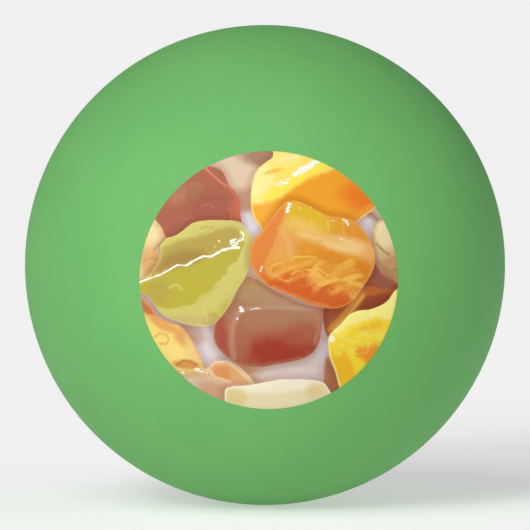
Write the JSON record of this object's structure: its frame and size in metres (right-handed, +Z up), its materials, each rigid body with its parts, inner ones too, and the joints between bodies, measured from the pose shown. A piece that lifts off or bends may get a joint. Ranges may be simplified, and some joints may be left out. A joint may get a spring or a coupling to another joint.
{
  "type": "table tennis ball",
  "caption": "Hollow seamed table tennis ball in green moulded plastic with a round full-colour picture printed on one side.",
  "frame": {"origin": "centre of the ball", "axes": "+Z up as pictured; -Y from the centre through the middle of the printed picture; the seam is the circle where the ball meets the XZ plane"},
  "size_m": [0.04, 0.0401, 0.04],
  "materials": {
    "cup_plastic": "matte",
    "cement": "satin",
    "white_ink": "satin",
    "picture_ink": "satin"
  },
  "bodies": {
    "root": {"front_cup": "cup_plastic", "rear_cup": "cup_plastic", "seam_cement": "cement", "print_white_base": "white_ink", "print_picture": "picture_ink"}
  },
  "joints": []
}
